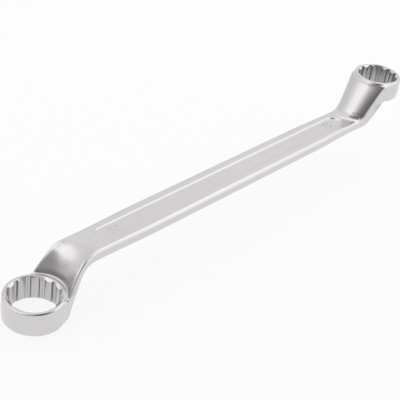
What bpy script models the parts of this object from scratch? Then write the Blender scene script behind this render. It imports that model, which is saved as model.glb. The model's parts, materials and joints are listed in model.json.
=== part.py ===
"""Double-ended deep-offset ring spanner, 20 x 22 mm: one drop forging with chrome plating.

The two ring heads lie in parallel planes. The large head hangs below the shank and the small
head stands above it, so the two ends are one design turned over. Metres, +Z up along both bolt
axes, +X from the large head to the small one. The origin is the middle of the length and width,
on the plane of the large head's outer face.
"""

import math
from collections import namedtuple

import bmesh
import bpy

# Whole tool, in metres
CENTRE_DISTANCE = 0.2589
LARGE_HEAD_DROP = 0.0191  # large head below the shank, middle to middle
SMALL_HEAD_RISE = 0.0174  # small head above the shank, middle to middle

# Heads
LARGE_FLATS = 0.0220
LARGE_WALL = 0.0023  # outside a corner of the bolt, at mid height
LARGE_HEAD_HEIGHT = 0.0131
SMALL_FLATS = 0.0200
SMALL_WALL = 0.00255
SMALL_HEAD_HEIGHT = 0.0117
HEAD_DRAFT = 0.0004  # how much narrower a head is at its faces than at mid height
EDGE_RADIUS = 0.0010  # round the rims and along the necks' edges where they leave the heads
CHAMFER_DEPTH = 0.0006
CHAMFER_MARGIN = 0.0002  # the entry chamfer passes the bolt's corners by this much

# Bores: twelve lands with a recess between each two. The shares are of the size across flats.
LAND_RADIUS_SHARE = 0.5455  # from the axis to a land's edges
MOUTH_WIDTH_SHARE = 0.127  # of a recess, at the lands
FLOOR_WIDTH_SHARE = 0.093
RECESS_MARGIN = 0.0001  # a recess's floor passes the bolt's corner by this much

# Shank
SHANK_WIDTH = 0.0203
SHANK_THICKNESS = 0.0058
SHANK_EDGE_RADIUS = 0.0020
WAIST_WIDTH = 0.0186
WAIST_TAPER = 0.0380  # length over which the shank widens from its waist

# Necks. The inner rail runs up the side that faces the bolt, the outer rail up the other side.
NECK_REACH = 0.0290  # from a head's axis to the waist, where the neck has become the shank
ROOT_REACH = 0.0047  # from a head's axis to where the neck's sides leave the head
LARGE_ROOT_WIDTH = 0.0284
LARGE_INNER_FOOT = 0.0052  # from the head's axis to a rail's foot
LARGE_OUTER_FOOT = 0.0097
LARGE_OUTER_RISE = math.radians(63.5)
SMALL_ROOT_WIDTH = 0.0267
SMALL_INNER_FOOT = 0.0048
SMALL_OUTER_FOOT = 0.0095
SMALL_OUTER_RISE = math.radians(58.5)
INNER_RISE = math.radians(50.0)
INNER_BEND = 0.0088
OUTER_BEND = 0.0080
OUTER_CROWN = 0.0042  # how far a neck's outer side bulges at its middle
NECK_WIDTH_POWER = 1.6  # how fast the neck's width falls off from its root
OUTER_SETBACK = 0.0007  # the neck's outer side starts this far inside the head's outer face
INNER_SETBACK = 0.0001  # the machined inner face stands this far proud of the forged neck
ROOT_INSET = 0.0050  # how far the arm reaches on into a head
ROOT_SETBACK = 0.0020  # the arm's end lies this far inside both of a head's faces

# Socket clearance: each neck's inner side is hollowed round the bolt's axis
CLEARANCE_INSET = 0.0004  # half the hollow's width from the outside of the head
CLEARANCE_LEAN = math.radians(13.0)  # from upright, at the hollow's foot
CLEARANCE_FLARE = 0.0280  # radius with which the hollow runs out into the shank

# Recessed panel on each face of the shank
PANEL_DEPTH = 0.0006
PANEL_WALL_RUN = 0.0006  # how far the sloping wall reaches over the panel's depth
PANEL_WIDTH = 0.0092  # across the floor
LARGE_PANEL_START = 0.0370  # from the large head's axis to the floor's end
SMALL_PANEL_START = 0.0330

CUT_OVERRUN = 0.0010  # how far a cutter runs past what it cuts
MERGE_DISTANCE = 0.00001

# Resolution
BORE_POINTS = 12
ROUND_STEPS = 96
EDGE_STEPS = 4
FACE_STEPS = 10
RAIL_STEPS = 17
SHANK_STEPS = 14
FLARE_STEPS = 14
PANEL_END_STEPS = 20
HALF_STEP = math.pi / ROUND_STEPS  # turns a cutter's edges clear of the head's own edges

# Derived sizes and places
LARGE_POINT_RADIUS = LARGE_FLATS / 2 / math.cos(2 * math.pi / BORE_POINTS)
SMALL_POINT_RADIUS = SMALL_FLATS / 2 / math.cos(2 * math.pi / BORE_POINTS)
LARGE_HEAD_RADIUS = LARGE_POINT_RADIUS + LARGE_WALL
SMALL_HEAD_RADIUS = SMALL_POINT_RADIUS + SMALL_WALL
LENGTH = LARGE_HEAD_RADIUS + CENTRE_DISTANCE + SMALL_HEAD_RADIUS
LARGE_X = LARGE_HEAD_RADIUS - LENGTH / 2
SMALL_X = LARGE_X + CENTRE_DISTANCE
SHANK_Z = LARGE_HEAD_HEIGHT / 2 + LARGE_HEAD_DROP
SHANK_BOTTOM = SHANK_Z - SHANK_THICKNESS / 2
SHANK_TOP = SHANK_Z + SHANK_THICKNESS / 2
SMALL_TOP = SHANK_Z + SMALL_HEAD_RISE + SMALL_HEAD_HEIGHT / 2

# An end is drawn as if its head hung below the shank: a place on it is (reach, height), with the
# reach from the head's axis and the height from its outer face. A turn of -1 turns it over.
End = namedtuple(
    "End",
    "name turn axis_x face_z flats point_radius radius height offset root inner_foot outer_foot rise",
)
LARGE = End(
    name="large",
    turn=1,
    axis_x=LARGE_X,
    face_z=0.0,
    flats=LARGE_FLATS,
    point_radius=LARGE_POINT_RADIUS,
    radius=LARGE_HEAD_RADIUS,
    height=LARGE_HEAD_HEIGHT,
    offset=LARGE_HEAD_DROP,
    root=LARGE_ROOT_WIDTH,
    inner_foot=LARGE_INNER_FOOT,
    outer_foot=LARGE_OUTER_FOOT,
    rise=LARGE_OUTER_RISE,
)
SMALL = End(
    name="small",
    turn=-1,
    axis_x=SMALL_X,
    face_z=SMALL_TOP,
    flats=SMALL_FLATS,
    point_radius=SMALL_POINT_RADIUS,
    radius=SMALL_HEAD_RADIUS,
    height=SMALL_HEAD_HEIGHT,
    offset=SMALL_HEAD_RISE,
    root=SMALL_ROOT_WIDTH,
    inner_foot=SMALL_INNER_FOOT,
    outer_foot=SMALL_OUTER_FOOT,
    rise=SMALL_OUTER_RISE,
)


def clear_scene():
    for obj in list(bpy.data.objects):
        bpy.data.objects.remove(obj, do_unlink=True)


def make_collection(name):
    collection = bpy.data.collections.new(name)
    bpy.context.scene.collection.children.link(collection)
    return collection


def make_helper(name, mesh, collection):
    """A solid that only cuts another or is joined to it."""
    obj = bpy.data.objects.new(name, mesh)
    obj.hide_render = True
    obj.display_type = "WIRE"
    collection.objects.link(obj)
    return obj


def mesh_from(name, bm):
    bmesh.ops.recalc_face_normals(bm, faces=bm.faces)
    mesh = bpy.data.meshes.new(name)
    bm.to_mesh(mesh)
    bm.free()
    return mesh


def skin(name, loops):
    """Lofts a closed mesh through loops that have the same number of points."""
    bm = bmesh.new()
    rings = [[bm.verts.new(point) for point in loop] for loop in loops]
    count = len(rings[0])
    for ring, following in zip(rings, rings[1:]):
        for i in range(count):
            j = (i + 1) % count
            bm.faces.new((ring[i], ring[j], following[j], following[i]))
    bm.faces.new(rings[0])
    bm.faces.new(rings[-1])
    return mesh_from(name, bm)


def turn_profile(name, end, profile, collection, phase=0.0):
    """Turns (radius, height) points, listed from the outer face inwards, about the bolt's axis."""
    points = [(radius, 0.0, end.turn * height) for radius, height in profile]
    if end.turn > 0:
        points.reverse()
    mesh = bpy.data.meshes.new(name)
    mesh.from_pydata(points, [(i, i + 1) for i in range(len(points) - 1)], [])
    obj = make_helper(name, mesh, collection)
    obj.location = (end.axis_x, 0.0, end.face_z)
    obj.rotation_euler.z = phase
    screw = obj.modifiers.new("turn", "SCREW")
    screw.steps = ROUND_STEPS
    screw.render_steps = ROUND_STEPS
    screw.use_merge_vertices = True
    screw.merge_threshold = MERGE_DISTANCE
    return obj


def arc(across, up, radius, start, end, steps):
    """Points of an arc about (across, up), both ends included."""
    points = []
    for i in range(steps + 1):
        angle = start + (end - start) * i / steps
        points.append((across + radius * math.cos(angle), up + radius * math.sin(angle)))
    return points


# Arm: both necks and the shank as one loft


def shank_half_width(x):
    """Half the shank's width: it narrows a little towards both necks."""
    from_large = x - LARGE_X - NECK_REACH
    from_small = SMALL_X - NECK_REACH - x
    share = min(max(min(from_large, from_small) / WAIST_TAPER, 0.0), 1.0)
    swell = share * share * (3.0 - 2.0 * share)
    return (WAIST_WIDTH + (SHANK_WIDTH - WAIST_WIDTH) * swell) / 2


def rail(foot, rise, bend, climb):
    """A neck's rail as (reach, climb, heading): straight from its foot, then bent level."""
    setback = bend * math.tan(rise / 2)
    corner = foot + climb / math.tan(rise)
    straight = climb / math.sin(rise) - setback
    bent = bend * rise
    level = NECK_REACH - corner - setback
    points = []
    for i in range(RAIL_STEPS + 1):
        along = (straight + bent + level) * i / RAIL_STEPS
        if along <= straight:
            points.append((foot + along * math.cos(rise), along * math.sin(rise), rise))
        elif along <= straight + bent:
            heading = rise - (along - straight) / bend
            reach = corner + setback - bend * math.sin(heading)
            points.append((reach, climb - bend * (1.0 - math.cos(heading)), heading))
        else:
            points.append((corner + setback + along - straight - bent, climb, 0.0))
    return points


def neck_half_width(end, reach):
    """Half the neck's width: like a die's parting line, it depends on the reach alone."""
    share = min(max((NECK_REACH - reach) / (NECK_REACH - ROOT_REACH), 0.0), 1.0)
    return (WAIST_WIDTH + (end.root - WAIST_WIDTH) * share**NECK_WIDTH_POWER) / 2


def section(lower, upper, half_widths, edge, low_bulge=(0.0, 0.0), high_bulge=(0.0, 0.0)):
    """Points round one section of the arm: a bar with rounded edges between two (x, z) places.

    The half widths are those of its lower and upper side. A bulge is the (x, z) step by which
    the middle of the lower or upper side stands out.
    """
    height = math.hypot(upper[0] - lower[0], upper[1] - lower[1])
    lean = ((upper[0] - lower[0]) / height, (upper[1] - lower[1]) / height)
    half_width, upper_half_width = half_widths
    flat = half_width - edge
    top = height - edge
    quarter = math.pi / 2
    across = [flat * (1.0 - 2.0 * i / FACE_STEPS) for i in range(1, FACE_STEPS)]
    outline = arc(flat, edge, edge, -quarter, 0.0, EDGE_STEPS)
    outline += arc(flat, top, edge, 0.0, quarter, EDGE_STEPS)
    outline += [(y, height) for y in across]
    outline += arc(-flat, top, edge, quarter, 2 * quarter, EDGE_STEPS)
    outline += arc(-flat, edge, edge, 2 * quarter, 3 * quarter, EDGE_STEPS)
    outline += [(-y, 0.0) for y in across]
    loop = []
    for y, level in outline:
        share = max(1.0 - (y / half_width) ** 2, 0.0)
        bulge = low_bulge if level < height / 2 else high_bulge
        x = lower[0] + lean[0] * level + bulge[0] * share
        widening = 1.0 + (upper_half_width / half_width - 1.0) * level / height
        loop.append((x, y * widening, lower[1] + lean[1] * level + bulge[1] * share))
    return loop


def neck_sections(end):
    """Sections of one neck, from inside its head to the waist of the shank."""
    inner_face = end.height
    shank = end.height / 2 + end.offset
    inner_rail = rail(
        end.inner_foot, INNER_RISE, INNER_BEND, shank + SHANK_THICKNESS / 2 - inner_face
    )
    outer_rail = rail(end.outer_foot, end.rise, OUTER_BEND, shank - SHANK_THICKNESS / 2)

    def placed(reach, height):
        return (end.axis_x + end.turn * reach, end.face_z + end.turn * height)

    def drawn(inner, outer, inner_half, outer_half, edge, bulge):
        if end.turn > 0:
            return section(outer, inner, (outer_half, inner_half), edge, low_bulge=bulge)
        return section(inner, outer, (inner_half, outer_half), edge, high_bulge=bulge)

    root = end.inner_foot - ROOT_INSET
    inner = placed(root, inner_face - ROOT_SETBACK)
    outer = placed(root, ROOT_SETBACK)
    half_width = end.root / 2 - EDGE_RADIUS
    sections = [drawn(inner, outer, half_width, half_width, EDGE_RADIUS, (0.0, 0.0))]
    for i in range(RAIL_STEPS + 1):
        left = 1.0 - i / RAIL_STEPS
        edge = SHANK_EDGE_RADIUS + (EDGE_RADIUS - SHANK_EDGE_RADIUS) * left
        reach, climb, _ = inner_rail[i]
        inner = placed(reach, inner_face + climb)
        inner_half = neck_half_width(end, reach)
        reach, climb, heading = outer_rail[i]
        outer = placed(reach, climb)
        outer_half = neck_half_width(end, reach)
        crown = end.turn * OUTER_CROWN * heading / end.rise
        bulge = (crown * math.sin(heading), -crown * math.cos(heading))
        sections.append(drawn(inner, outer, inner_half, outer_half, edge, bulge))
    return sections


def make_arm(collection):
    start = LARGE_X + NECK_REACH
    end = SMALL_X - NECK_REACH
    shank = []
    for i in range(1, SHANK_STEPS):
        x = start + (end - start) * i / SHANK_STEPS
        half_widths = (shank_half_width(x),) * 2
        shank.append(section((x, SHANK_BOTTOM), (x, SHANK_TOP), half_widths, SHANK_EDGE_RADIUS))
    loops = neck_sections(LARGE) + shank + neck_sections(SMALL)[::-1]
    obj = bpy.data.objects.new("forged_spanner", skin("forged_spanner", loops))
    collection.objects.link(obj)
    return obj


# Heads, and what is cut from them and from the necks


def head_blank(end, collection):
    waist = end.radius - HEAD_DRAFT
    rim = waist - EDGE_RADIUS
    quarter = math.pi / 2
    profile = [(0.0, 0.0)]
    profile += arc(rim, EDGE_RADIUS, EDGE_RADIUS, -quarter, 0.0, EDGE_STEPS)
    profile.append((end.radius, end.height / 2))
    profile += arc(rim, end.height - EDGE_RADIUS, EDGE_RADIUS, 0.0, quarter, EDGE_STEPS)
    profile.append((0.0, end.height))
    return turn_profile(f"{end.name}_head", end, profile, collection)


def socket_clearance(end, collection):
    """Hollows the neck's inner side so that a socket or a bolt's head stays clear of it.

    Level slices of it are ellipses of one width, longer and longer towards the shank.
    """
    half_width = end.radius - CLEARANCE_INSET
    middle = end.radius + CLEARANCE_FLARE * math.cos(CLEARANCE_LEAN)
    foot = end.height - CLEARANCE_FLARE * math.sin(CLEARANCE_LEAN)
    roof = end.height / 2 + end.offset + SHANK_THICKNESS / 2 + CUT_OVERRUN
    last = math.asin(min((roof - foot) / CLEARANCE_FLARE, 1.0))
    first = math.asin((end.height - INNER_SETBACK - foot) / CLEARANCE_FLARE)
    profile = arc(middle, foot, CLEARANCE_FLARE, math.pi - first, math.pi - last, FLARE_STEPS)
    loops = []
    for half_length, level in profile:
        z = end.face_z + end.turn * level
        loop = []
        for i in range(ROUND_STEPS):
            angle = 2 * math.pi * i / ROUND_STEPS + HALF_STEP
            x = end.axis_x + half_length * math.cos(angle)
            loop.append((x, half_width * math.sin(angle), z))
        loops.append(loop)
    name = f"{end.name}_clearance"
    return make_helper(name, skin(name, loops), collection)


def facing_cut(end, collection):
    """Takes the neck's crown off just inside the head's outer face."""
    radius = end.radius + OUTER_CROWN
    depth = OUTER_CROWN + CUT_OVERRUN
    bm = bmesh.new()
    bmesh.ops.create_cone(
        bm, cap_ends=True, segments=ROUND_STEPS, radius1=radius, radius2=radius, depth=depth
    )
    obj = make_helper(f"{end.name}_facing", mesh_from(f"{end.name}_facing", bm), collection)
    middle = OUTER_SETBACK - depth / 2
    obj.location = (end.axis_x, 0.0, end.face_z + end.turn * middle)
    return obj


def bore_outline(end):
    """Twelve-point outline: a recess with steep walls at each point, and a land between each two."""
    pitch = 2 * math.pi / BORE_POINTS
    land_radius = LAND_RADIUS_SHARE * end.flats
    floor_radius = end.point_radius + RECESS_MARGIN
    mouth = math.asin(MOUTH_WIDTH_SHARE * end.flats / 2 / land_radius)
    floor = math.asin(FLOOR_WIDTH_SHARE * end.flats / 2 / floor_radius)
    outline = []
    for i in range(BORE_POINTS):
        angle = i * pitch
        outline.append((land_radius, angle - mouth))
        outline.append((floor_radius, angle - floor))
        outline.append((floor_radius, angle + floor))
        outline.append((land_radius, angle + mouth))
    return [(radius * math.cos(angle), radius * math.sin(angle)) for radius, angle in outline]


def bore_cut(end, collection):
    outline = bore_outline(end)
    levels = (-CUT_OVERRUN, end.height + CUT_OVERRUN)
    loops = []
    for level in levels:
        z = end.face_z + end.turn * level
        loops.append([(end.axis_x + x, y, z) for x, y in outline])
    return make_helper(f"{end.name}_bore", skin(f"{end.name}_bore", loops), collection)


def entry_chamfer(end, side, collection):
    """Conical lead-in at the outer face (side 0) or the inner face (side 1) of a head."""
    face_radius = end.point_radius + CHAMFER_MARGIN
    slope = (face_radius - LAND_RADIUS_SHARE * end.flats) / CHAMFER_DEPTH
    depth = CHAMFER_DEPTH + 2 * CUT_OVERRUN
    wide = face_radius + slope * CUT_OVERRUN
    narrow = wide - slope * depth
    upwards = end.turn * (2 * side - 1)
    bm = bmesh.new()
    bmesh.ops.create_cone(
        bm,
        cap_ends=True,
        segments=ROUND_STEPS,
        radius1=narrow if upwards > 0 else wide,
        radius2=wide if upwards > 0 else narrow,
        depth=depth,
    )
    name = f"{end.name}_chamfer_{side}"
    obj = make_helper(name, mesh_from(name, bm), collection)
    face = end.face_z + end.turn * end.height * side
    middle = CUT_OVERRUN - depth / 2
    obj.location = (end.axis_x, 0.0, face + upwards * middle)
    obj.rotation_euler.z = HALF_STEP
    return obj


# Panels


def panel_cut(side, collection):
    """Shallow recess in the shank's lower (-1) or upper (1) face, with sloping walls."""
    face = SHANK_TOP if side > 0 else SHANK_BOTTOM
    radius = PANEL_WIDTH / 2
    start = LARGE_X + LARGE_PANEL_START + radius
    end = SMALL_X - SMALL_PANEL_START - radius
    quarter = math.pi / 2
    loops = []
    for level in (-PANEL_DEPTH, CUT_OVERRUN):
        grown = radius + PANEL_WALL_RUN * (level + PANEL_DEPTH) / PANEL_DEPTH
        outline = arc(start, 0.0, grown, quarter, 3 * quarter, PANEL_END_STEPS)
        outline += arc(end, 0.0, grown, -quarter, quarter, PANEL_END_STEPS)
        loops.append([(x, y, face + side * level) for x, y in outline])
    name = "upper_panel" if side > 0 else "lower_panel"
    return make_helper(name, skin(name, loops), collection)


def combine(obj, other, operation):
    boolean = obj.modifiers.new(other.name, "BOOLEAN")
    boolean.operation = operation
    boolean.object = other
    boolean.solver = "EXACT"


def chrome():
    material = bpy.data.materials.new("chrome_plated_steel")
    material.use_nodes = True
    shader = material.node_tree.nodes["Principled BSDF"]
    shader.inputs["Base Color"].default_value = (0.66, 0.65, 0.64, 1.0)
    shader.inputs["Metallic"].default_value = 1.0
    shader.inputs["Roughness"].default_value = 0.24
    return material


def main():
    clear_scene()
    parts = make_collection("ring_spanner")
    helpers = make_collection("cutters")
    spanner = make_arm(parts)
    ends = (LARGE, SMALL)
    for end in ends:
        combine(spanner, socket_clearance(end, helpers), "DIFFERENCE")
        combine(spanner, facing_cut(end, helpers), "DIFFERENCE")
    for end in ends:
        combine(spanner, head_blank(end, helpers), "UNION")
    for end in ends:
        for side in (0, 1):
            combine(spanner, entry_chamfer(end, side, helpers), "DIFFERENCE")
        combine(spanner, bore_cut(end, helpers), "DIFFERENCE")
    for side in (-1, 1):
        combine(spanner, panel_cut(side, helpers), "DIFFERENCE")
    spanner.data.materials.append(chrome())


main()
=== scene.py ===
import json
import math

import bmesh
import bpy
import numpy as np
from mathutils import Matrix, Vector

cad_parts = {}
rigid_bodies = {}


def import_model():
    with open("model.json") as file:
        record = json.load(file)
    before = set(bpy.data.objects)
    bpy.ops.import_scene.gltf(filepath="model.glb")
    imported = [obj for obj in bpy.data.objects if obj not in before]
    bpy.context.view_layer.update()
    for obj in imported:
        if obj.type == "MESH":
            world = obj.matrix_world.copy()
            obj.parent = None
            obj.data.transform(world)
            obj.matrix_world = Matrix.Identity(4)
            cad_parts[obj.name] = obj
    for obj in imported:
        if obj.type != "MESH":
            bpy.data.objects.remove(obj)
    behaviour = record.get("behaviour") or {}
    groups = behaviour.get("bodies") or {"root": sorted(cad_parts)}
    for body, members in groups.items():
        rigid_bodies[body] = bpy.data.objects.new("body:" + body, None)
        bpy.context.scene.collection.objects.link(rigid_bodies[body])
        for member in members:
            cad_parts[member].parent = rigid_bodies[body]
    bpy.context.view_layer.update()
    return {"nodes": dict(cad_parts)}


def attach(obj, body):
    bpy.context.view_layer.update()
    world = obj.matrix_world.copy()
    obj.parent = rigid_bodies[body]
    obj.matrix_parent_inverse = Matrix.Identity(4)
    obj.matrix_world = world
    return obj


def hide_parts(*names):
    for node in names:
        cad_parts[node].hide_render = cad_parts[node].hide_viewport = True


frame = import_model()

scene = bpy.context.scene
mm = 0.001
print("frame loaded:", sorted(frame["nodes"]))

# The forging, in mm. Each end is worked out as if its head hung below the shank: x runs from the
# bolt's axis towards the shank, z from the head's outer face towards the shank.
forging = {
    "shankZ": 25.65,  # middle of the shank above the large head's outer face
    "shankWidth": 20.3,
    "shankThickness": 5.8,
    "shankEdge": 2.0,
    "waistWidth": 18.6,
    "waistTaper": 38.0,
    "neckReach": 29.0,
    "rootReach": 4.7,
    "neckWidthPower": 1.6,
    "innerRise": math.radians(50.0),
    "innerBend": 8.8,
    "outerBend": 8.0,
    "outerCrown": 4.2,
    "armStart": 0.5,  # inside the head, from the bolt's axis
    "rootEdge": 1.2,  # rounding of the neck's long edges where they leave the head
    "faceSetback": 0.8,
    "footBlend": 1.7,  # rounding between the neck's outer side and the plane of the face
    "rimEdge": 0.9,
    "tipEdge": 1.7,  # the outer face's rim is rounder at the free end
    "tipFrom": 0.3,  # cosine of the heading from which it gets rounder
    "draft": 0.4,
    "hollowInset": 0.4,  # half the hollow's width from the outside of the head
    "hollowLean": math.radians(13.0),  # from upright, at its foot
    "hollowFlare": 28.0,  # radius with which it runs out into the shank
    "hollowSteepest": 0.995,  # sine of the lean at which it stops flaring
    "hollowFoot": 0.6,  # rounding between it and the head's inner face
    "crestBlend": 5.0,  # where the hollow runs out into the shank
    "headFillet": 0.55,
}
# How the skin is sampled
sampling = {
    "halfPoints": 72,  # points on half a section
    "fanSections": 84,
    "neckSections": 165,
    "shankSections": 48,
    "rays": 500,
    "raySteps": 120,
    "rayReach": 26.0,
    "rayHalvings": 20,
    "columnHeights": np.linspace(-1.0, 60.0, 1221),
    "columnHalvings": 30,
    "turnPace": 1.1,  # a turn of one radian counts as this many mm when points are shared out
    "turnWindow": 45,  # turning is averaged over one such part of the rays, and three at least
    "fanMiddle": 0.55,  # where a fan section's rays start, of the head's radius
    "neckMiddle": ([0, 0.2, 0.36, 0.5, 0.7, 1], [7.5, 8.6, 9.2, 7.0, 5.5, 5.0]),  # by share of neck
    "neckMiddleRadius": 15.0,  # radius of the head that these belong to
    "neckOverrun": 2.0,  # the last leaning section lies this far along the shank
    "neckLag": 13.0,  # how far a leaning section's foot is ahead of its top, at most
    "neckLagPower": 0.75,
}
largeEnd = {
    "turn": 1,
    "axisX": -129.0,
    "faceZ": 0.0,
    "flats": 22.0,
    "pointTurn": math.radians(4.0),  # how the broach happened to stand
    "radius": 14.99,
    "height": 13.1,
    "rootWidth": 28.4,
    "innerFoot": 5.2,
    "outerFoot": 9.7,
    "outerRise": math.radians(63.5),
    # tone of the painted shade inside this head's bore
    "boreShadeTone": 0.9,
}
smallEnd = {
    "turn": -1,
    "axisX": 129.9,
    "faceZ": 48.9,
    "flats": 20.0,
    "pointTurn": math.radians(-2.5),
    "radius": 14.09,
    "height": 11.7,
    "rootWidth": 26.7,
    "innerFoot": 4.8,
    "outerFoot": 9.5,
    "outerRise": math.radians(58.5),
    # tone of the painted shade inside this head's bore, darker than the large head's
    "boreShadeTone": 0.72,
}
mergeDistance = {"parts": 1e-7, "marks": 1e-6, "body": 2e-7}  # in metres


def roundedMax(a, b, r):
    return np.minimum(-r, np.maximum(a, b)) + np.hypot(np.maximum(a + r, 0), np.maximum(b + r, 0))


def roundedMin(a, b, r):
    return -roundedMax(-a, -b, r)


def shankLevels(end):
    # Heights of the shank's far and near face in the end's own frame
    top = abs(forging["shankZ"] - end["faceZ"]) + forging["shankThickness"] / 2
    return top, top - forging["shankThickness"]


def railField(x, z, foot, footZ, rise, bend, level):
    # A rail leaves its foot at an angle and bends level. Gives the distance above it and the share
    # of its length at the nearest point.
    above = (z - footZ) * math.cos(rise) - (x - foot) * math.sin(rise)
    midZ = level - bend
    midX = foot + (bend + (midZ - footZ) * math.cos(rise)) / math.sin(rise)
    heading = np.arctan2(midX - x, z - midZ)
    bent = np.hypot(x - midX, z - midZ) - bend
    distance = np.where(heading <= 0, z - level, np.where(heading < rise, bent, above))
    climb = level - footZ
    setback = bend * math.tan(rise / 2)
    corner = foot + climb / math.tan(rise)
    straight = climb / math.sin(rise) - setback
    total = straight + bend * rise + forging["neckReach"] - corner - setback
    left = np.clip(heading, 0, rise) / rise
    onSlope = (x - foot) * math.cos(rise) + (z - footZ) * math.sin(rise)
    along = straight + bend * rise * (1 - left)
    along = np.where(heading >= rise, np.minimum(onSlope, straight), along)
    past = straight + bend * rise + x - corner - setback
    along = np.where(heading <= 0, np.maximum(past, straight + bend * rise), along)
    return distance, along / total


def shankHalfWidth(worldX):
    fromLarge = worldX - largeEnd["axisX"] - forging["neckReach"]
    fromSmall = smallEnd["axisX"] - forging["neckReach"] - worldX
    share = np.clip(np.minimum(fromLarge, fromSmall) / forging["waistTaper"], 0, 1)
    swell = share * share * (3 - 2 * share)
    return (forging["waistWidth"] + (forging["shankWidth"] - forging["waistWidth"]) * swell) / 2


def headField(end, x, z, r):
    f = forging
    height = end["height"]
    wall = r - (end["radius"] - f["draft"] * np.abs(2 * z / height - 1))
    free = np.clip((f["tipFrom"] - x / np.maximum(r, 1e-6)) / (f["tipFrom"] + 1), 0, 1)
    free = free * free * (3 - 2 * free)
    outerEdge = f["rimEdge"] + (f["tipEdge"] - f["rimEdge"]) * free
    edge = np.where(z < height / 2, outerEdge, f["rimEdge"])
    return roundedMax(wall, np.abs(z - height / 2) - height / 2, edge)


def hollowField(end, x, y, z):
    # The hollow that clears the socket or the bolt's head: level slices of it are ellipses round
    # the bolt's axis, of one width and longer and longer towards the shank. The lower limits keep
    # the divisions sound at the axis.
    f = forging
    climb = math.sin(f["hollowLean"]) + (z - end["height"]) / f["hollowFlare"]
    climb = np.clip(climb, 0, f["hollowSteepest"])
    slope = np.sqrt(1 - climb * climb)
    length = end["radius"] + f["hollowFlare"] * (math.cos(f["hollowLean"]) - slope)
    width = end["radius"] - f["hollowInset"]
    across = np.maximum(np.hypot(x * width / length, y), 0.1)
    steep = (x * width / length) ** 2 / across / length
    grade = np.sqrt(
        (steep * length / np.maximum(np.abs(x), 1)) ** 2
        + (y / across) ** 2
        + (steep * climb / slope) ** 2
    )
    hollow = (width - across) / np.maximum(grade, 0.1)
    return roundedMin(z - end["height"], hollow, f["hollowFoot"])


def solidField(end, x, y, z):
    # Distance from the forging's skin, in mm, negative inside
    f = forging
    top, bottom = shankLevels(end)
    y = np.abs(y)
    head = headField(end, x, z, np.hypot(x, y))
    # arm between its two rails; the outer one stands further out along the middle
    widening = np.clip((f["neckReach"] - x) / (f["neckReach"] - f["rootReach"]), 0, 1)
    flare = (end["rootWidth"] - f["waistWidth"]) * widening ** f["neckWidthPower"]
    worldX = end["axisX"] + end["turn"] * x
    half = np.where(x < f["neckReach"], (f["waistWidth"] + flare) / 2, shankHalfWidth(worldX))
    crown = f["outerCrown"] * np.clip(1 - (y / half) ** 2, 0, 1) / math.sin(end["outerRise"])
    over, overAlong = railField(
        x, z, end["innerFoot"], end["height"], f["innerRise"], f["innerBend"], top
    )
    under, underAlong = railField(
        x, z, end["outerFoot"] + crown, 0.0, end["outerRise"], f["outerBend"], bottom
    )
    under = -under
    overShare = np.maximum(-under, 0.01)
    underShare = np.maximum(-over, 0.01)
    along = (overAlong * overShare + underAlong * underShare) / (overShare + underShare)
    along = np.clip(along, 0, 1)
    under = roundedMax(under, f["faceSetback"] - z, f["footBlend"])
    over = roundedMax(over, hollowField(end, x, y, z), f["crestBlend"])
    edge = f["rootEdge"] + (f["shankEdge"] - f["rootEdge"]) * along
    arm = roundedMax(np.maximum(over, under), y - half, edge)
    arm = np.maximum(arm, f["armStart"] - x)
    return np.maximum(roundedMin(head, arm, f["headFillet"]), -z)


def wayOut(field, midY, midZ, angles):
    # How far it is from (midY, midZ) to the skin at each angle
    steps = np.linspace(0, sampling["rayReach"], sampling["raySteps"])
    c, s = np.cos(angles), np.sin(angles)
    values = field(midY + c[:, None] * steps, midZ + s[:, None] * steps)
    first = np.maximum(np.argmax(values > 0, axis=1), 1)
    low, high = steps[first - 1], steps[first]
    for _ in range(sampling["rayHalvings"]):
        middle = (low + high) / 2
        outside = field(midY + c * middle, midZ + s * middle) > 0
        high = np.where(outside, middle, high)
        low = np.where(outside, low, middle)
    return (low + high) / 2


def skinHeight(field, inside, outside):
    # The height on the middle line at which the skin lies between two heights
    for _ in range(sampling["columnHalvings"]):
        middle = (inside + outside) / 2
        if field(np.zeros(1), np.array([middle]))[0] < 0:
            inside = middle
        else:
            outside = middle
    return (inside + outside) / 2


def halfSection(field, midY, startZ):
    # Points from the middle line's upper end round the side to its lower end, closer where the
    # skin turns
    heights = sampling["columnHeights"]
    solid = field(np.zeros_like(heights), heights) < 0
    k = int(np.argmin(np.abs(heights - startZ) + np.where(solid, 0, np.inf)))
    low = high = k
    while solid[low - 1]:
        low -= 1
    while solid[high + 1]:
        high += 1
    topZ = skinHeight(field, heights[high], heights[high + 1])
    bottomZ = skinHeight(field, heights[low], heights[low - 1])
    # the rays start halfway up the metal's longest run above midY
    solid = field(np.full_like(heights, midY), heights) < 0
    ends = np.flatnonzero(np.diff(np.concatenate([[0], solid.astype(int), [0]])))
    runs = ends.reshape(-1, 2)
    run = runs[np.argmax(runs[:, 1] - runs[:, 0])]
    midZ = (heights[run[0]] + heights[run[1] - 1]) / 2
    first = math.atan2(topZ - midZ, -midY) % (2 * math.pi)
    last = -(math.atan2(midZ - bottomZ, -midY) % (2 * math.pi))

    def skinPoints(angles):
        out = wayOut(field, midY, midZ, angles)
        across, up = midY + out * np.cos(angles), midZ + out * np.sin(angles)
        across[0], up[0], across[-1], up[-1] = 0, topZ, 0, bottomZ
        return across, up

    dense = np.linspace(first, last, sampling["rays"])
    across, up = skinPoints(dense)
    heading = np.unwrap(np.arctan2(np.diff(up), np.diff(across)))
    turning = np.concatenate([[0], np.abs(np.diff(heading)), [0]])
    window = max(sampling["rays"] // sampling["turnWindow"], 3)
    turning = np.convolve((turning[:-1] + turning[1:]) / 2, np.ones(window) / window, "same")
    pace = np.hypot(np.diff(across), np.diff(up)) + sampling["turnPace"] * turning
    pace = np.concatenate([[0], np.cumsum(pace)])
    shares = np.linspace(0, pace[-1], sampling["halfPoints"] + 1)
    return skinPoints(np.interp(shares, pace, dense))


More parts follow.
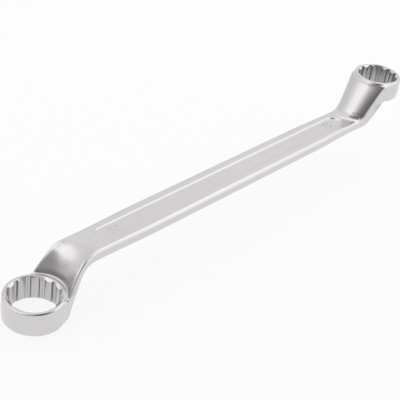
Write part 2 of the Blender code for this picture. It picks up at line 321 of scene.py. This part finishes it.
def endSections(end):
    # Half sections from the free end to the waist: a fan round the bolt's axis, then planes that
    # lean with the neck
    radius, height = end["radius"], end["height"]
    sections = []
    for i in range(sampling["fanSections"]):
        turn = math.pi * (1 - i / sampling["fanSections"] / 2)
        c, s = math.cos(turn), math.sin(turn)
        across, up = halfSection(
            lambda y, z: solidField(end, y * c, y * s, z),
            sampling["fanMiddle"] * radius,
            height / 2,
        )
        sections.append(np.stack([across * c, across * s, up], axis=1))
    top, _ = shankLevels(end)
    inMetal = (
        [0, 0.35, 0.5, 0.75, 1],
        [height / 2, height / 2 + 1, height, top - 5, top - forging["shankThickness"] / 2],
    )
    for i in range(sampling["neckSections"] + 1):
        share = i / sampling["neckSections"]
        mean = (forging["neckReach"] + sampling["neckOverrun"]) * share
        lag = sampling["neckLag"] * math.sin(math.pi * share ** sampling["neckLagPower"]) ** 2
        lean = lag / top
        foot = mean + lag / 2
        midY = np.interp(share, *sampling["neckMiddle"])
        across, up = halfSection(
            lambda y, z: solidField(end, foot - lean * z, y, z),
            midY * radius / sampling["neckMiddleRadius"],
            np.interp(share, *inMetal),
        )
        sections.append(np.stack([foot - lean * up, across, up], axis=1))
    return sections


def toWorld(end, half):
    # A half section in the tool's own frame, listed from its upper end to its lower end
    points = half * [end["turn"], 1, end["turn"]] + [end["axisX"], 0, end["faceZ"]]
    return points if end["turn"] > 0 else points[::-1]


def merge(mesh, distance, faceOut=True):
    bm = bmesh.new()
    bm.from_mesh(mesh)
    bmesh.ops.remove_doubles(bm, verts=bm.verts, dist=distance)
    if faceOut:
        bmesh.ops.recalc_face_normals(bm, faces=bm.faces)
    bm.to_mesh(mesh)
    bm.free()


def makeMesh(name, points, faces):
    mesh = bpy.data.meshes.new(name)
    mesh.from_pydata([tuple(p) for p in points], [], faces)
    merge(mesh, mergeDistance["parts"])
    return mesh


def makeObject(name, mesh):
    obj = bpy.data.objects.new(name, mesh)
    scene.collection.objects.link(obj)
    return obj


def meshOf(obj):
    # A plain mesh of what the object's modifiers or its curve come to
    graph = bpy.context.evaluated_depsgraph_get()
    return bpy.data.meshes.new_from_object(obj.evaluated_get(graph), depsgraph=graph)


def joinedObject(name, meshes):
    bm = bmesh.new()
    for mesh in meshes:
        bm.from_mesh(mesh)
    mesh = bpy.data.meshes.new(name)
    bm.to_mesh(mesh)
    bm.free()
    return makeObject(name, mesh)


def skinMesh():
    halves = [toWorld(largeEnd, half) for half in endSections(largeEnd)]
    print("  large end sampled")
    smallHalves = [toWorld(smallEnd, half) for half in endSections(smallEnd)][::-1]
    print("  small end sampled")
    left, right = halves[-1], smallHalves[0]
    count = sampling["shankSections"]
    base = forging["waistWidth"] / 2
    flat = base - forging["shankEdge"]
    for i in range(1, count):
        share = i / count
        half = left * (1 - share) + right * share
        # the flats widen, the rounded edges only move out
        grow = shankHalfWidth(half[:, 0]) - base
        inside = np.abs(half[:, 1]) < flat
        half[:, 1] = np.where(inside, half[:, 1] * (flat + grow) / flat, half[:, 1] + grow)
        halves.append(half)
    halves += smallHalves
    loops = np.array([np.concatenate([h, h[1:-1][::-1] * [1, -1, 1]]) for h in halves]) * mm
    rows, columns = loops.shape[:2]
    faces = []
    for i in range(rows - 1):
        for j in range(columns):
            k = (j + 1) % columns
            a, b = i * columns, (i + 1) * columns
            faces.append((a + j, a + k, b + k, b + j))
    return makeMesh("forgedSkin", loops.reshape(-1, 3), faces)


# Both kinds of cutter have rounded corners, and step a little outwards just above the face that
# they cut, so that no two faces lie in one plane
cutterLip = {"out": 0.05, "up": 0.02}
cornerSteps = 4


def roundedCorner(x, z, r, turn, side):
    # Points that leave (x, z) level and turn away, outwards and up or, with side -1, back and down
    angles = [turn * i / cornerSteps for i in range(cornerSteps + 1)]
    return [(x + side * r * math.sin(a), z + side * r * (1 - math.cos(a))) for a in angles]


# The twelve-point bores. Two hexagons make the facets, bars across the bore deepen each point into
# a steep-walled recess, and a turned cutter makes the lead-ins and rounds off the ridges.
bore = {
    "points": 12,
    "sides": 6,  # of a hexagon
    "facetMargin": 0.12,  # from the bolt's flats to the facets
    "mouthAt": 0.5455,  # how far from the axis a recess starts, of the size across flats
    "mouthShare": 0.127,  # width of a recess there
    "floorShare": 0.093,  # and at its floor
    "floorMargin": 0.05,  # the floor passes the bolt's corners by this much
    "ridgeShare": 0.5295,  # a ridge between two points, from the axis
    "leadDepth": 1.1,
    "leadMargin": 0.25,  # the lead-in passes the bolt's corners by this much
    "leadEdge": 0.22,  # rounding between the lead-in and the face
    "overrun": 2.0,
    "turnedSteps": 180,
    "turnedPhase": 0.007,  # keeps the turned cutter's edges clear of the recesses' edges
}


def boltCorner(end):
    return end["flats"] / math.sqrt(3)


def leadSlope(end):
    # How far the lead-in reaches from the axis at the face, where the ridges start, and the angle
    # between it and the face
    mouth = boltCorner(end) + bore["leadMargin"]
    ridge = bore["ridgeShare"] * end["flats"]
    return mouth, ridge, math.atan2(bore["leadDepth"], mouth - ridge)


def mathsIn(tree):
    # Adds maths nodes to the tree, from numbers and other nodes' outputs
    def maths(operation, *values):
        node = tree.nodes.new("ShaderNodeMath")
        node.operation = operation
        for value, socket in zip(values, node.inputs):
            if isinstance(value, (int, float)):
                socket.default_value = value
            else:
                tree.links.new(value, socket)
        return node.outputs[0]

    return maths


def recessTree():
    # One bar, wide at the middle and narrow at both ends, repeated round the axis and joined with
    # two hexagonal prisms
    tree = bpy.data.node_groups.new("twelvePointBore", "GeometryNodeTree")
    face = tree.interface
    face.new_socket("Geometry", in_out="OUTPUT", socket_type="NodeSocketGeometry")
    for name in ("Length", "Middle Width", "End Width", "Depth"):
        face.new_socket(name, in_out="INPUT", socket_type="NodeSocketFloat")
    face.new_socket("Bars", in_out="INPUT", socket_type="NodeSocketInt")
    face.new_socket("Hexagon Radius", in_out="INPUT", socket_type="NodeSocketFloat")
    face.new_socket("Point Turn", in_out="INPUT", socket_type="NodeSocketFloat")
    face.new_socket("Material", in_out="INPUT", socket_type="NodeSocketMaterial")
    node = tree.nodes.new
    link = tree.links.new
    maths = mathsIn(tree)
    given = node("NodeGroupInput").outputs

    size = node("ShaderNodeCombineXYZ")
    link(given["Length"], size.inputs["X"])
    link(given["End Width"], size.inputs["Y"])
    link(given["Depth"], size.inputs["Z"])
    bar = node("GeometryNodeMeshCube")
    bar.inputs["Vertices X"].default_value = 3
    link(size.outputs[0], bar.inputs["Size"])
    place = node("GeometryNodeInputPosition")
    apart = node("ShaderNodeSeparateXYZ")
    link(place.outputs[0], apart.inputs[0])
    # the middle row of corners moves out to the middle width
    reach = maths("DIVIDE", maths("ABSOLUTE", apart.outputs["X"]), given["Length"])
    inward = maths("SUBTRACT", 1, maths("MULTIPLY", reach, 2))
    extra = maths("SUBTRACT", maths("DIVIDE", given["Middle Width"], given["End Width"]), 1)
    shift = node("ShaderNodeCombineXYZ")
    link(maths("MULTIPLY", apart.outputs["Y"], maths("MULTIPLY", inward, extra)), shift.inputs["Y"])
    shaped = node("GeometryNodeSetPosition")
    link(bar.outputs["Mesh"], shaped.inputs["Geometry"])
    link(shift.outputs[0], shaped.inputs["Offset"])
    prism = node("GeometryNodeMeshCylinder")
    prism.inputs["Vertices"].default_value = bore["sides"]
    link(given["Hexagon Radius"], prism.inputs["Radius"])
    link(given["Depth"], prism.inputs["Depth"])
    index = node("GeometryNodeInputIndex").outputs[0]

    def turnedCopies(geometry, pitch):
        # As many copies as the line has points, each turned further than the last
        line = node("GeometryNodeMeshLine")
        line.inputs["Offset"].default_value = (0, 0, 0)
        turn = maths("ADD", maths("MULTIPLY", index, pitch), given["Point Turn"])
        rotation = node("ShaderNodeCombineXYZ")
        link(turn, rotation.inputs["Z"])
        copies = node("GeometryNodeInstanceOnPoints")
        link(line.outputs["Mesh"], copies.inputs["Points"])
        link(geometry, copies.inputs["Instance"])
        link(rotation.outputs[0], copies.inputs["Rotation"])
        return line.inputs["Count"], copies.outputs[0]

    count, bars = turnedCopies(shaped.outputs[0], maths("DIVIDE", math.pi, given["Bars"]))
    link(given["Bars"], count)
    count, prisms = turnedCopies(prism.outputs["Mesh"], math.pi / bore["sides"])
    count.default_value = 2
    union = node("GeometryNodeMeshBoolean")
    union.operation = "UNION"
    union.solver = "EXACT"
    link(bars, union.inputs["Mesh 2"])
    link(prisms, union.inputs["Mesh 2"])
    realize = node("GeometryNodeRealizeInstances")
    link(union.outputs["Mesh"], realize.inputs[0])
    finish = node("GeometryNodeSetMaterial")
    link(realize.outputs[0], finish.inputs["Geometry"])
    link(given["Material"], finish.inputs["Material"])
    result = node("NodeGroupOutput")
    link(finish.outputs[0], result.inputs[0])
    return tree


def madeBy(tree, name, values):
    # Runs a node tree on an empty mesh and keeps its result as a plain mesh
    carrier = makeObject(name, bpy.data.meshes.new(name))
    modifier = carrier.modifiers.new(name, "NODES")
    modifier.node_group = tree
    for item in tree.interface.items_tree:
        if item.in_out == "INPUT" and item.name in values:
            modifier[item.identifier] = values[item.name]
    mesh = meshOf(carrier)
    bpy.data.objects.remove(carrier)
    return mesh


def turnedMesh(name, profile, steps, phase):
    # Turns a closed (radius, height) profile, whose ends lie on the axis, about z
    rings = profile[1:-1]
    points = [(0, 0, profile[0][1])]
    for i in range(steps):
        angle = 2 * math.pi * i / steps + phase
        points += [(r * math.cos(angle), r * math.sin(angle), z) for r, z in rings]
    points.append((0, 0, profile[-1][1]))
    n = len(rings)
    faces = []
    for i in range(steps):
        a, b = 1 + i * n, 1 + (i + 1) % steps * n
        faces.append((0, b, a))
        faces += [(a + j, b + j, b + j + 1, a + j + 1) for j in range(n - 1)]
        faces.append((a + n - 1, b + n - 1, len(points) - 1))
    return makeMesh(name, points, faces)


def leadProfile(end):
    # Half of the turned cutter: from the axis above the face, down the lead-in to the ridges
    mouth, ridge, slope = leadSlope(end)
    r = bore["leadEdge"]
    rim = mouth + r * math.tan(slope / 2)
    points = [(0, bore["overrun"]), (rim + cutterLip["out"], bore["overrun"])]
    points.append((rim + cutterLip["out"], cutterLip["up"]))
    points += roundedCorner(rim, 0, r, slope, -1)
    points.append((ridge, -bore["leadDepth"]))
    return points


def boreCutters():
    tree = recessTree()
    prisms, turned = [], []
    for end in (largeEnd, smallEnd):
        middle = end["faceZ"] + end["turn"] * end["height"] / 2
        place = Matrix.Translation(Vector((end["axisX"], 0, middle)) * mm)
        flats = end["flats"]
        floorWidth = bore["floorShare"] * flats
        floor = math.sqrt((boltCorner(end) + bore["floorMargin"]) ** 2 - floorWidth**2 / 4)
        mouthWidth = bore["mouthShare"] * flats
        mouth = math.sqrt((bore["mouthAt"] * flats) ** 2 - mouthWidth**2 / 4)
        taper = (mouthWidth - floorWidth) / (floor - mouth)
        facets = flats / 2 + bore["facetMargin"]
        values = {
            "Length": 2 * floor * mm,
            "Middle Width": (floorWidth + taper * floor) * mm,
            "End Width": floorWidth * mm,
            "Depth": (end["height"] + 2 * bore["overrun"]) * mm,
            "Hexagon Radius": facets / math.cos(math.pi / bore["sides"]) * mm,
            "Bars": bore["points"] // 2,
            "Point Turn": end["pointTurn"],
            "Material": chrome,
        }
        prism = madeBy(tree, "borePoints", values)
        prism.transform(place)
        prisms.append(prism)
        upper = [(r, z + end["height"] / 2) for r, z in leadProfile(end)]
        profile = upper + [(r, -z) for r, z in reversed(upper)]
        profile = [(r * mm, z * mm) for r, z in profile]
        mesh = turnedMesh("boreLeadIns", profile, bore["turnedSteps"], bore["turnedPhase"])
        mesh.transform(place)
        turned.append(mesh)
    return joinedObject("borePoints", prisms), joinedObject("boreLeadIns", turned)


# Recessed panel on each face of the shank
panel = {
    "depth": 0.6,
    "width": 9.2,  # across the floor
    "wallRun": 0.6,
    "largeStart": 37.0,  # from the large bolt's axis to the floor's end
    "smallStart": 34.2,
    "endSteps": 40,
    "edge": 0.25,
    "overrun": 1.0,
}


def panelProfile():
    # (how far outside the floor's outline, height above the floor), with both corners rounded
    depth, run, r = panel["depth"], panel["wallRun"], panel["edge"]
    wall = math.atan2(depth, run)
    setback = r * math.tan(wall / 2)
    points = roundedCorner(-setback, 0, r, wall, 1)
    points += reversed(roundedCorner(run + setback, depth, r, wall, -1))
    lip = run + setback + cutterLip["out"]
    return points + [(lip, depth + cutterLip["up"]), (lip, depth + panel["overrun"])]


def panelMesh(side):
    face = forging["shankZ"] + side * forging["shankThickness"] / 2
    radius = panel["width"] / 2
    start = largeEnd["axisX"] + panel["largeStart"] + radius
    end = smallEnd["axisX"] - panel["smallStart"] - radius
    rows = []
    for out, up in panelProfile():
        r = radius + out
        z = face + side * (up - panel["depth"])
        row = []
        for middle, first in ((start, math.pi / 2), (end, -math.pi / 2)):
            for i in range(panel["endSteps"] + 1):
                a = first + math.pi * i / panel["endSteps"]
                row.append((middle + r * math.cos(a), r * math.sin(a), z))
        rows.append(row)
    n = len(rows[0])
    faces = [tuple(range(n)), tuple(range((len(rows) - 1) * n, len(rows) * n))]
    for i in range(len(rows) - 1):
        faces += [
            (i * n + j, i * n + (j + 1) % n, (i + 1) * n + (j + 1) % n, (i + 1) * n + j)
            for j in range(n)
        ]
    return makeMesh("panel", np.array(rows).reshape(-1, 3) * mm, faces)


# The size across flats stands up from the panels' floors beside each head
sizeMark = {
    "height": 5.0,
    "capShare": 0.7,  # height of a figure, of the font's size
    "relief": 0.2,
    "root": 0.3,  # how far it reaches into the metal
    "edge": 0.09,
    "edgeSteps": 2,
    "curveSteps": 6,
    "largeX": -81.2,  # middle of the figures
    "smallX": 86.0,
}


def sizeMarks():
    meshes = []
    mark = sizeMark
    middle = forging["shankThickness"] / 2 - panel["depth"] + (mark["relief"] - mark["root"]) / 2
    for end, x in ((largeEnd, mark["largeX"]), (smallEnd, mark["smallX"])):
        curve = bpy.data.curves.new("sizeMark", "FONT")
        curve.body = f"{end['flats']:.0f}"
        curve.align_x = "CENTER"
        curve.align_y = "CENTER"
        curve.size = mark["height"] / mark["capShare"]
        curve.extrude = (mark["relief"] + mark["root"]) / 2 - mark["edge"]
        curve.bevel_depth = mark["edge"]
        curve.bevel_resolution = mark["edgeSteps"]
        curve.resolution_u = mark["curveSteps"]
        figures = makeObject("sizeMark", curve)
        mesh = meshOf(figures)
        bpy.data.objects.remove(figures)
        for side in (1, -1):
            copy = mesh.copy()
            turn = Matrix.Rotation(0 if side > 0 else math.pi, 4, "X")
            place = Matrix.Translation((x, 0, forging["shankZ"] + side * middle))
            copy.transform(Matrix.Scale(mm, 4) @ place @ turn)
            merge(copy, mergeDistance["marks"])
            meshes.append(copy)
    return joinedObject("sizeMarks", meshes)


def looseEdges(mesh):
    bm = bmesh.new()
    bm.from_mesh(mesh)
    count = sum(1 for edge in bm.edges if not edge.is_manifold)
    bm.free()
    return count


def combine(obj, tool, operation, stage):
    modifier = obj.modifiers.new(tool.name, "BOOLEAN")
    modifier.operation = operation
    modifier.solver = "EXACT"
    modifier.object = tool
    mesh = meshOf(obj)
    obj.modifiers.clear()
    obj.data = mesh
    bpy.data.objects.remove(tool)
    print(stage + ", open edges:", looseEdges(mesh))


chrome = bpy.data.materials.new("chromePlate")
body = makeObject("spannerBody", skinMesh())
print("skin:", len(body.data.polygons), "faces, open edges:", looseEdges(body.data))
borePoints, boreLeadIns = boreCutters()
combine(body, boreLeadIns, "DIFFERENCE", "lead-ins cut")
combine(body, borePoints, "DIFFERENCE", "bores cut")
combine(body, joinedObject("panels", [panelMesh(1), panelMesh(-1)]), "DIFFERENCE", "panels cut")
combine(body, sizeMarks(), "UNION", "size marks joined")
merge(body.data, mergeDistance["body"], faceOut=False)
body.data.shade_smooth()
body.data.set_sharp_from_angle(angle=math.radians(24))
body.data.materials.clear()
body.data.materials.append(chrome)
print("body:", sum(len(p.vertices) - 2 for p in body.data.polygons), "triangles")

# Satin chrome, with painted shade inside the bores, on the recesses' walls and at the hollows'
# feet. Sizes are in mm, tones are shares of the plate's own. A pair of sizes is where an area
# starts to fade and where it has gone, or where it starts and where it is full.
chromeLook = {
    "color": (0.669, 0.649, 0.655),
    "roughness": 0.13,
    "cloudSize": 11.0,  # soft blotches left by the belt
    "cloudTone": 0.035,
    "cloudRoughness": 0.04,
    "grainSize": 0.32,  # satin of the blasted forging under the plate
    "grainTone": 0.04,
    "grainHeight": 0.0016,
    "beltWidth": 0.35,  # marks of the polishing belt along the shank
    "beltLength": 22.0,
    "beltEnd": (90.0, 105.0),  # from the middle of the tool
    "beltTone": 0.03,
    "beltHeight": 0.0012,
    "rimWidth": (1.4, 0.9),  # faced rims, from the outside of the head
    "rimDepth": (0.12, 0.04),  # from the face
    "turnPitch": 0.22,  # rings left by facing them
    "turnTone": 0.05,
    "turnHeight": 0.0012,
    "boreReach": (0.595, 0.605),  # of the size across flats
    "boreStart": (0.05, 0.25),  # from the lead-in's slope
    "boreRoughness": 0.3,
    "broachWidth": 0.42,  # lines left by the broach
    "broachLength": 500 / 3,
    "broachTone": 0.22,
    "broachHeight": 0.004,
    "recessMouth": (0.545, 0.551),  # of the size across flats
    "recessFloor": (0.574, 0.579),
    # painted shade on the recesses' side walls
    "recessShadeTone": 0.6,  # the recesses' side walls
    "footStart": (0.1, 0.5),  # the hollow's foot above the face, darkened with painted shade, and rougher where the belt doesn't reach
    "footEnd": (1.2, 5.0),  # from the outside of the head
    "footRoughness": 0.32,
    # tone of the painted shade at the hollow's foot
    "footShadeTone": 0.78,
}


def stepsIn(tree):
    # Adds smooth steps to the tree, from one level to another between two values
    def step(value, start, end, low=0.0, high=1.0):
        node = tree.nodes.new("ShaderNodeMapRange")
        node.interpolation_type = "SMOOTHSTEP"
        tree.links.new(value, node.inputs["Value"])
        levels = {"From Min": start, "From Max": end, "To Min": low, "To Max": high}
        for name, number in levels.items():
            node.inputs[name].default_value = number
        return node.outputs["Result"]

    return step


def chromeNodes():
    look = chromeLook
    chrome.use_nodes = True
    tree = chrome.node_tree
    shader = tree.nodes["Principled BSDF"]
    link = tree.links.new
    maths = mathsIn(tree)
    step = stepsIn(tree)

    def vectors(operation, a, b, output="Vector"):
        node = tree.nodes.new("ShaderNodeVectorMath")
        node.operation = operation
        for value, socket in zip((a, b), node.inputs):
            if isinstance(value, tuple):
                socket.default_value = value
            else:
                link(value, socket)
        return node.outputs[output]

    def noise(place, size, detail=2.0):
        # from -1 to 1, with spots of the given size along each axis
        node = tree.nodes.new("ShaderNodeTexNoise")
        node.inputs["Detail"].default_value = detail
        sizes = size if isinstance(size, tuple) else (size,) * 3
        link(vectors("MULTIPLY", place, tuple(1 / s for s in sizes)), node.inputs["Vector"])
        node.inputs["Scale"].default_value = 1.0
        return maths("MULTIPLY_ADD", node.outputs["Fac"], 2.0, -1.0)

    def vary(tone, value, amount):
        # tone * (1 + value * amount)
        return maths("MULTIPLY", tone, maths("MULTIPLY_ADD", value, amount, 1.0))

    coordinates = tree.nodes.new("ShaderNodeTexCoord")
    place = vectors("MULTIPLY", coordinates.outputs["Object"], (1 / mm,) * 3)
    apart = tree.nodes.new("ShaderNodeSeparateXYZ")
    link(place, apart.inputs[0])
    cloud = noise(place, look["cloudSize"], detail=3.0)
    grain = noise(place, look["grainSize"])
    belt = noise(place, (look["beltLength"], look["beltWidth"], look["beltWidth"]))
    fromMid = maths("ABSOLUTE", apart.outputs["X"])
    belt = maths("MULTIPLY", belt, step(fromMid, *look["beltEnd"], 1.0, 0.0))
    tone = maths("MULTIPLY_ADD", cloud, look["cloudTone"], 1.0)
    tone = vary(vary(tone, grain, look["grainTone"]), belt, look["beltTone"])
    rough = maths("MULTIPLY_ADD", cloud, look["cloudRoughness"], look["roughness"])
    height = maths("MULTIPLY", grain, look["grainHeight"])
    height = maths("MULTIPLY_ADD", belt, look["beltHeight"], height)
    for end in (largeEnd, smallEnd):
        flats, outside, halfHeight = end["flats"], end["radius"], end["height"] / 2
        fromAxis = vectors("SUBTRACT", place, (end["axisX"], 0.0, 0.0))
        fromAxis = vectors("MULTIPLY", fromAxis, (1.0, 1.0, 0.0))
        radius = vectors("LENGTH", fromAxis, (0.0,) * 3, "Value")
        middle = end["faceZ"] + end["turn"] * halfHeight
        fromMiddle = maths("ABSOLUTE", maths("SUBTRACT", apart.outputs["Z"], middle))
        # bore: painted shade over the whole bore, deeper in the small head's, painted shade on the
        # recesses' side walls, and the broach's lines
        mouth, _, leadAngle = leadSlope(end)
        slope = math.tan(leadAngle)
        fromLead = maths("MULTIPLY_ADD", radius, -slope, fromMiddle)
        lead = halfHeight - slope * mouth
        near, far = look["boreStart"]
        inBore = maths(
            "MULTIPLY",
            step(radius, *(share * flats for share in look["boreReach"]), 1.0, 0.0),
            step(fromLead, lead - far, lead - near, 1.0, 0.0),
        )
        recessWallShade = maths(
            "MULTIPLY",
            step(radius, *(share * flats for share in look["recessMouth"])),
            step(radius, *(share * flats for share in look["recessFloor"]), 1.0, 0.0),
        )
        width = look["broachWidth"]
        broach = noise(place, (width, width, look["broachLength"]), detail=3.0)
        broach = maths("MULTIPLY", broach, inBore)
        # painted shade: the whole bore is darkened, more in the small head than in the large
        tone = vary(tone, inBore, end["boreShadeTone"] - 1)
        # painted shade darkens the recesses' side walls
        tone = vary(tone, maths("MULTIPLY", recessWallShade, inBore), look["recessShadeTone"] - 1)
        tone = vary(tone, broach, look["broachTone"])
        rough = maths("MULTIPLY_ADD", inBore, look["boreRoughness"] - look["roughness"], rough)
        height = maths("MULTIPLY_ADD", broach, look["broachHeight"], height)
        # foot of the hollow: painted shade in the crease by the head, and a rougher finish where
        # the belt doesn't reach
        aboveFace = maths(
            "MULTIPLY_ADD", apart.outputs["Z"], end["turn"], -end["turn"] * end["faceZ"]
        )
        footShadeAndDull = maths(
            "MULTIPLY",
            step(aboveFace, *(end["height"] + up for up in look["footStart"])),
            step(radius, *(outside + out for out in look["footEnd"]), 1.0, 0.0),
        )
        # painted shade darkens the hollow's foot beside the head
        tone = vary(tone, footShadeAndDull, look["footShadeTone"] - 1)
        rough = maths("MULTIPLY_ADD", footShadeAndDull, look["footRoughness"] - look["roughness"], rough)
        # faced rims
        onRim = maths(
            "MULTIPLY",
            step(radius, *(outside - width for width in look["rimWidth"]), 1.0, 0.0),
            step(fromMiddle, *(halfHeight - depth for depth in look["rimDepth"])),
        )
        ring = tree.nodes.new("ShaderNodeCombineXYZ")
        link(radius, ring.inputs[0])
        rings = maths("MULTIPLY", noise(ring.outputs[0], look["turnPitch"], detail=1.0), onRim)
        tone = vary(tone, rings, look["turnTone"])
        height = maths("MULTIPLY_ADD", rings, look["turnHeight"], height)
    link(vectors("MULTIPLY", look["color"], tone), shader.inputs["Base Color"])
    link(rough, shader.inputs["Roughness"])
    shader.inputs["Metallic"].default_value = 1.0
    bump = tree.nodes.new("ShaderNodeBump")
    bump.inputs["Distance"].default_value = mm
    bump.inputs["Strength"].default_value = 1.0
    link(height, bump.inputs["Height"])
    link(bump.outputs[0], shader.inputs["Normal"])


chromeNodes()
print("chrome made")

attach(body, "root")
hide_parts("forged_spanner")

# Studio. A round light tent encloses the tool. Its wall glows evenly apart from soft boxes, which
# add to the glow, and dark openings, which hold it back.
tent = {
    "radius": 0.7,
    "segments": 64,
    "rings": 32,
    "glow": 0.901,
    # azimuth, elevation, angle to the edge of the full part, angle to the outer edge, amount
    "softBoxes": [
        (-25, 51, 16, 26, 0.16),
        (-41, 37, 27, 54, 0.24),
        (21, 44, 1, 17, 0.31),
        (84, 52, 3, 18, 0.05),
        (136, 36, 19, 43, 0.14),
        (157, 41, 6, 41, 0.28),
        (-2, 72, 7, 32, 0.12),
        (-41, 31, 4, 19, 0.08),
        (179, 55, 7, 45, 0.10),
        (-112, 35, 4, 22, 0.57),
        (43, 52, 5, 38, 0.05),
    ],
    "openings": [
        (117, 8, 52, 62, 0.08),
        (-141, 54, 18, 21, 0.40),
        (-106, 28, 4, 41, 0.78),
        (-156, 2, 20, 37, 0.55),
        (-72, 81, 6, 23, 0.70),
        (157, 0, 6, 27, 0.20),
        (-101, 64, 1, 22, 0.53),
        (-118, 34, 5, 30, 0.44),
    ],
}
studio = {
    "floorSize": 1.6,
    "floorDrop": 0.0002,
    "floorTone": 0.9,
    "floorRoughness": 0.9,
    "floorWhite": 0.88,  # share of the floor's white that shadows don't reach
    "world": 1.0,
    "camera": (-0.35928, -0.268145, 0.305934),
    # rotation vector from the tool's frame to the camera's, whose y runs down and z forwards
    "cameraTurn": (2.063183830661007, -0.8173427459661745, 0.5951630585986101),
    "sensor": 36,
    "lens": 90.8536,
    "clipStart": 0.01,
    "clipEnd": 10,
}


def floorMaterial():
    # White for the camera, the metal and glass, with a share of real light so that it keeps the
    # tool's shadow. From below it can be seen through.
    look = bpy.data.materials.new("paleFloor")
    look.use_nodes = True
    tree = look.node_tree
    nodes, link = tree.nodes, tree.links.new
    maths = mathsIn(tree)

    def mixed(share, first, second):
        node = nodes.new("ShaderNodeMixShader")
        for output, socket in zip((share, first, second), node.inputs):
            link(output, socket)
        return node.outputs[0]

    plain = nodes["Principled BSDF"]
    plain.inputs["Base Color"].default_value = (studio["floorTone"],) * 3 + (1,)
    plain.inputs["Roughness"].default_value = studio["floorRoughness"]
    path = nodes.new("ShaderNodeLightPath").outputs
    seen = maths("MAXIMUM", path["Is Camera Ray"], path["Is Glossy Ray"])
    seen = maths("MAXIMUM", seen, path["Is Transmission Ray"])
    white = nodes.new("ShaderNodeEmission")
    clear = nodes.new("ShaderNodeBsdfTransparent")
    backfacing = nodes.new("ShaderNodeNewGeometry").outputs["Backfacing"]
    share = maths("MULTIPLY", seen, studio["floorWhite"])
    above = mixed(share, plain.outputs[0], white.outputs[0])
    surface = mixed(backfacing, above, clear.outputs[0])
    link(surface, nodes["Material Output"].inputs["Surface"])
    return look


def tentMaterial():
    look = bpy.data.materials.new("tentWall")
    look.use_nodes = True
    tree = look.node_tree
    nodes, link = tree.nodes, tree.links.new
    maths = mathsIn(tree)
    step = stepsIn(tree)
    nodes.remove(nodes["Principled BSDF"])
    place = nodes.new("ShaderNodeTexCoord")
    heading = nodes.new("ShaderNodeVectorMath")
    heading.operation = "NORMALIZE"
    link(place.outputs["Object"], heading.inputs[0])

    def patch(azimuth, elevation, inner, outer, low, high):
        a, e = math.radians(azimuth), math.radians(elevation)
        facing = nodes.new("ShaderNodeVectorMath")
        facing.operation = "DOT_PRODUCT"
        level = math.cos(e)
        facing.inputs[1].default_value = (level * math.cos(a), level * math.sin(a), math.sin(e))
        link(heading.outputs[0], facing.inputs[0])
        start, end = math.cos(math.radians(outer)), math.cos(math.radians(inner))
        return step(facing.outputs["Value"], start, end, low, high)

    glow = tent["glow"]
    for azimuth, elevation, inner, outer, amount in tent["softBoxes"]:
        glow = maths("ADD", glow, patch(azimuth, elevation, inner, outer, 0, amount))
    for azimuth, elevation, inner, outer, amount in tent["openings"]:
        glow = maths("MULTIPLY", glow, patch(azimuth, elevation, inner, outer, 1, 1 - amount))
    light = nodes.new("ShaderNodeEmission")
    link(glow, light.inputs["Strength"])
    link(light.outputs[0], nodes["Material Output"].inputs["Surface"])
    look.cycles.emission_sampling = "NONE"
    return look


floorMesh = bpy.data.meshes.new("floor")
reach, drop = studio["floorSize"] / 2, -studio["floorDrop"]
corners = ((-1, -1), (1, -1), (1, 1), (-1, 1))
floorMesh.from_pydata([(x * reach, y * reach, drop) for x, y in corners], [], [(0, 1, 2, 3)])
floorMesh.materials.append(floorMaterial())
makeObject("floor", floorMesh)

tentMesh = bpy.data.meshes.new("lightTent")
bm = bmesh.new()
bmesh.ops.create_uvsphere(
    bm, u_segments=tent["segments"], v_segments=tent["rings"], radius=tent["radius"]
)
bm.to_mesh(tentMesh)
bm.free()
tentMesh.shade_smooth()
tentMesh.materials.append(tentMaterial())
lightTent = makeObject("lightTent", tentMesh)
lightTent.visible_camera = False
lightTent.visible_shadow = False

cameraData = bpy.data.cameras.new("camera")
cameraData.sensor_width = studio["sensor"]
cameraData.lens = studio["lens"]
cameraData.clip_start = studio["clipStart"]
cameraData.clip_end = studio["clipEnd"]
camera = makeObject("camera", cameraData)
axis = Vector(studio["cameraTurn"])
turn = Matrix.Rotation(axis.length, 3, axis.normalized())
camera.rotation_mode = "QUATERNION"
camera.rotation_quaternion = (turn.transposed() @ Matrix.Diagonal((1, -1, -1))).to_quaternion()
camera.location = studio["camera"]
scene.camera = camera

world = bpy.data.worlds.new("studio")
scene.world = world
world.use_nodes = True
background = world.node_tree.nodes["Background"]
background.inputs["Color"].default_value = (1, 1, 1, 1)
background.inputs["Strength"].default_value = studio["world"]
scene.view_settings.view_transform = "Standard"
print("studio made")
